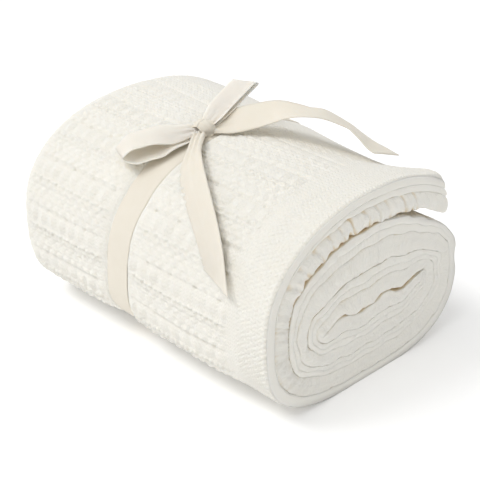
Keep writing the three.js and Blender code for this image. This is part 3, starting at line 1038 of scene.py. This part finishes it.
# The loops' colours are painted paler than the same tape elsewhere. This painted light brightens their
# shaded insides, on top of the light that really goes through them.
PAINTED_PALE_LOOP_LIGHT = (0.92, 0.86, 0.74, 1)
PAINTED_PALE_LOOP_SHADE = (0.90, 0.83, 0.70, 1)
PAINTED_PALE_LOOP_TAPE = tape_material("cream_tape_loops_painted_pale", PAINTED_PALE_LOOP_LIGHT, PAINTED_PALE_LOOP_SHADE, through=0.95, depth=0.0034)
LOOSE_TAPE = tape_material("cream_tape_loose", TAPE_LIGHT, TAPE_SHADE, through=0.5, depth=0.0012)


def spline(rows, count):
    """Catmull-Rom curve through the rows, at count even steps of its parameter."""
    padded = np.concatenate([2 * rows[:1] - rows[1:2], rows, 2 * rows[-1:] - rows[-2:-1]])
    t = np.linspace(0, len(rows) - 1, count)
    i = np.minimum(t.astype(int), len(rows) - 2)
    f = (t - i)[:, None]
    a, b, c, d = (padded[i + k] for k in range(4))
    square = (2 * a - 5 * b + 4 * c - d) * f ** 2
    cube = (3 * b - a - 3 * c + d) * f ** 3
    return 0.5 * (2 * b + (c - a) * f + square + cube)


def tape_strip(name, rows, cut=0.0, pleat=PLEAT):
    """A strip of tape through rows of (place, across, width share, cup), and its length.

    cup bends its edges up, cut slants its end, and pleat is how deep it folds where it is narrow.
    """
    table = np.array([[*place, *across, wide, cup] for place, across, wide, cup in rows])
    fine = spline(table, SPLINE_STEPS)
    lengths = run_lengths(fine[:, :3])
    total = lengths[-1]
    steps = np.linspace(0, 1, round(total / TAPE_STEP) + 1)
    side = np.linspace(-1, 1, TAPE_ACROSS + 1)
    run = steps[:, None] * (total + cut * side)
    inside = np.minimum(run, total)
    tangents = np.gradient(fine[:, :3], axis=0)
    tangents /= np.linalg.norm(tangents, axis=1, keepdims=True)
    centre = sampled(inside, lengths, fine[:, :3])
    along = sampled(inside, lengths, tangents)
    across = sampled(inside, lengths, fine[:, 3:6])
    across -= along * np.sum(across * along, axis=-1, keepdims=True)
    across /= np.linalg.norm(across, axis=-1, keepdims=True)
    normal = np.cross(along, across)
    wide = np.interp(inside, lengths, fine[:, 6])
    cup = np.interp(inside, lengths, fine[:, 7])
    gathered = np.clip(1 - wide, 0, 1)
    lift = cup * (side ** 2 - CUP_MIDDLE) + pleat * gathered * np.cos(math.pi * PLEATS * side)
    places = centre + across * (side * wide * TAPE / 2)[..., None] + normal * lift[..., None]
    places = places + along * np.maximum(0, run - total)[..., None]
    plan = np.stack(np.broadcast_arrays(side * TAPE / 2, run), axis=-1)
    return tape_piece(name, places, plan), float(total)


def from_knot(dx, dy, dz, across, wide=1.0):
    """Row of a strip at millimetres from the knot."""
    return KNOT + np.array([dx, dy, dz]) * MM, across, wide, 0.0


FRONT_LOOP = [
    from_knot(0, 0, 0.5, LOOP_TOP, 0.4),
    from_knot(-4, -12, 1, LOOP_TOP, 0.7),
    from_knot(-8, -24, 0.5, LOOP_TOP),
    from_knot(-12.5, -38.5, 1, LOOP_MIDDLE),
    from_knot(-16, -48.5, -0.5, LOOP_MIDDLE),
    from_knot(-18, -55, -4, LOOP_END),
    from_knot(-19, -58, -7.5, LOOP_END),
    from_knot(-17.5, -55.5, -10, LOOP_END),
    from_knot(-14, -49, -10, LOOP_MIDDLE),
    from_knot(-10, -42.5, -8.3, LOOP_MIDDLE),
    from_knot(-6.5, -34, -6, LOOP_TOP),
    from_knot(-2.5, -22.5, -2.3, LOOP_TOP, 0.75),
    from_knot(0, 0, -1.2, LOOP_TOP, 0.4),
]
BACK_LOOP = [
    from_knot(0, 0, 0, ALONG_ROLL, 0.4),
    from_knot(-1, 9, 6.5, ALONG_ROLL, 0.8),
    from_knot(-2.5, 18.5, 12.5, ALONG_ROLL, 0.97),
    from_knot(-3.5, 31, 18.8, ALONG_ROLL),
    from_knot(-5, 40.5, 22.4, ALONG_ROLL),
    from_knot(-5.5, 44.2, 22.4, ALONG_ROLL),
    from_knot(-5.5, 44, 20.2, ALONG_ROLL),
    from_knot(-4, 32, 15.4, ALONG_ROLL),
    from_knot(-2, 18.5, 9.4, ALONG_ROLL, 0.97),
    from_knot(0, 0, -1.5, ALONG_ROLL, 0.4),
]
BACK_TAIL = [
    from_knot(0, 0, 0.5, STANDING, 0.4),
    from_knot(7, 10, 3, STANDING, 0.75),
    from_knot(15.5, 16.5, 6.5, STANDING),
    from_knot(25, 24.5, 10, STANDING),
    from_knot(33.5, 32, 13, (-0.67, 0.64, 0.38)),
    from_knot(44, 37.5, 15, (-0.67, 0.73, 0.13)),
    from_knot(54, 43, 15.5, (-0.63, 0.77, -0.04)),
    from_knot(62, 50, 14.5, (-0.6, 0.79, -0.07)),
    from_knot(69, 56, 11, (-0.6, 0.79, -0.14)),
    from_knot(76, 61.5, 6.5, (-0.59, 0.78, -0.2)),
    from_knot(85, 63.5, 1.5, (-0.56, 0.81, -0.17)),
    from_knot(94.5, 65, -3.5, (-0.47, 0.88, -0.12)),
    from_knot(104, 67, -6.5, (-0.37, 0.91, -0.17)),
]
FRONT_TAIL_START = from_knot(0, -4, 0, (0.9, 0.4, 0), 0.4)
# Rows of the front tail: x, section angle, lift over the face, lean of its near edge, width share.
FRONT_TAIL = [
    (5.4, 112.5, 5, 12, 0.5),
    (15.1, 119.8, 4.5, 20, 0.78),
    (26.8, 126.4, 4, 20, 0.9),
    (41.9, 133.9, 3.5, 18, 0.92),
    (54.6, 140.7, 3.2, 16, 0.92),
    (66.9, 148.3, 3.2, 14, 0.92),
    (76.2, 155.7, 3.2, 12, 0.92),
    (83.5, 164.3, 3.2, 10, 0.92),
]


def on_face(x, degrees, lift):
    return roll_point(np.array(x * MM), outer_turns(degrees), PACK + lift * MM)


def lying_rows(table):
    """Rows of a strip that lies on the roll's face."""
    points = [on_face(x, degrees, lift) for x, degrees, lift, _, _ in table]
    rows = []
    for i, (x, degrees, lift, lean, wide) in enumerate(table):
        along = Vector(points[min(i + 1, len(points) - 1)] - points[max(i - 1, 0)]).normalized()
        round_face = Vector(on_face(x, degrees + 1, lift) - points[i])
        normal = round_face.cross(Vector((1, 0, 0)))
        across = normal.cross(along).normalized()
        tilt = math.radians(lean)
        across = across * math.cos(tilt) + along.cross(across) * math.sin(tilt)
        rows.append((points[i], tuple(across), wide, 0.0))
    return rows


front_loop, front_loop_length = tape_strip("ribbon_front_loop", FRONT_LOOP)
back_loop, back_loop_length = tape_strip("ribbon_back_loop", BACK_LOOP)
back_tail, back_tail_length = tape_strip("ribbon_back_tail", BACK_TAIL, cut=BACK_TAIL_CUT)
front_tail_rows = [FRONT_TAIL_START, *lying_rows(FRONT_TAIL)]
front_tail, front_tail_length = tape_strip("ribbon_front_tail", front_tail_rows, cut=TAIL_CUT)
# The loops get the tape with painted paler colours.
dress_tape(front_loop, PAINTED_PALE_LOOP_TAPE)
dress_tape(back_loop, PAINTED_PALE_LOOP_TAPE)
dress_tape(back_tail, LOOSE_TAPE)
dress_tape(front_tail, LOOSE_TAPE)


# Ribbon knot: the same tape's turn round the middle of the bow, drawn up tight into soft pleats. It
# holds the loops and the tails down on the band.
KNOT_HALF = (0.0066, 0.0055)
KNOT_ACROSS = (0.1, 1, 0)
KNOT_WIDE = 0.60
KNOT_PLEAT = 0.0008
KNOT_BARREL = -0.0034
KNOT_STEPS = 16
knot_rows = []
for t in np.linspace(0, 2 * math.pi, KNOT_STEPS + 1):
    place = KNOT + np.array([KNOT_HALF[0] * math.sin(t), 0, KNOT_HALF[1] * math.cos(t)])
    knot_rows.append((place, KNOT_ACROSS, KNOT_WIDE, KNOT_BARREL))
ribbon_knot, knot_length = tape_strip("ribbon_knot", knot_rows, pleat=KNOT_PLEAT)
dress_tape(ribbon_knot, LOOSE_TAPE)


# Studio: a pale floor, a bright surround, soft lights from above, and the camera at the photo's angle.
FLOOR_SIZE = 12
FLOOR_COLOUR = (0.98, 0.98, 0.98, 1)
FLOOR_GLOW = 0.11
SURROUND_COLOUR = (1, 1, 1, 1)
SURROUND_GLOW = 0.57
SIDE_LAMP_PLACE = (-0.22, 0.05, 0.5)
SIDE_LAMP_SIZE = 0.25
SIDE_LAMP_POWER = 0.18
VIEW_AZIMUTH = math.radians(46.354)
VIEW_ELEVATION = math.radians(26.669)
VIEW_DISTANCE = 0.74077
VIEW_TARGET = Vector(ROLL_MIDDLE + np.array([0, 0.00014, 0.05421]))
LENS = 77.52
SENSOR = 36

bm = bmesh.new()
bmesh.ops.create_grid(bm, x_segments=1, y_segments=1, size=FLOOR_SIZE / 2)
floor = finished("floor", bm)
floor_material = bpy.data.materials.new("pale_floor")
floor_material.use_nodes = True
fill_inputs(floor_material.node_tree, floor_material.node_tree.nodes["Principled BSDF"], {
    "Base Color": FLOOR_COLOUR,
    "Roughness": 0.9,
    "Specular IOR Level": 0.1,
    "Emission Color": FLOOR_COLOUR,
    "Emission Strength": FLOOR_GLOW,
})
floor.data.materials.append(floor_material)

scene = bpy.context.scene
world = bpy.data.worlds.new("studio")
world.use_nodes = True
fill_inputs(world.node_tree, world.node_tree.nodes["Background"], {
    "Color": SURROUND_COLOUR,
    "Strength": SURROUND_GLOW,
})
scene.world = world
scene.view_settings.view_transform = "Standard"


def placed_light(light, aim):
    """Object that shines a light along aim."""
    holder = bpy.data.objects.new(light.name, light)
    holder.rotation_euler = aim.to_track_quat("-Z", "Y").to_euler()
    scene.collection.objects.link(holder)
    return holder


def soft_sun(name, towards, strength, spread):
    """Wide soft light from one direction, with the strength that a white sheet facing it would show."""
    light = bpy.data.lights.new(name, "SUN")
    light.energy = strength * math.pi
    light.angle = math.radians(spread)
    placed_light(light, -Vector(towards))


soft_sun("front_light", towards=(-0.35, -0.5, 0.79), strength=0.29, spread=20)
soft_sun("fill_light", towards=(0.06, -0.52, 0.85), strength=0.22, spread=30)
side_lamp = bpy.data.lights.new("side_lamp", "AREA")
side_lamp.energy = SIDE_LAMP_POWER
side_lamp.size = SIDE_LAMP_SIZE
lamp_holder = placed_light(side_lamp, VIEW_TARGET - Vector(SIDE_LAMP_PLACE))
lamp_holder.location = SIDE_LAMP_PLACE

camera_data = bpy.data.cameras.new("camera")
camera_data.lens = LENS
camera_data.sensor_width = SENSOR
camera_data.clip_start = 0.01
camera = bpy.data.objects.new("camera", camera_data)
view_back = Vector((
    math.sin(VIEW_AZIMUTH) * math.cos(VIEW_ELEVATION),
    -math.cos(VIEW_AZIMUTH) * math.cos(VIEW_ELEVATION),
    math.sin(VIEW_ELEVATION),
))
camera.location = VIEW_TARGET + view_back * VIEW_DISTANCE
camera.rotation_euler = (-view_back).to_track_quat("-Z", "Y").to_euler()
scene.collection.objects.link(camera)
scene.camera = camera
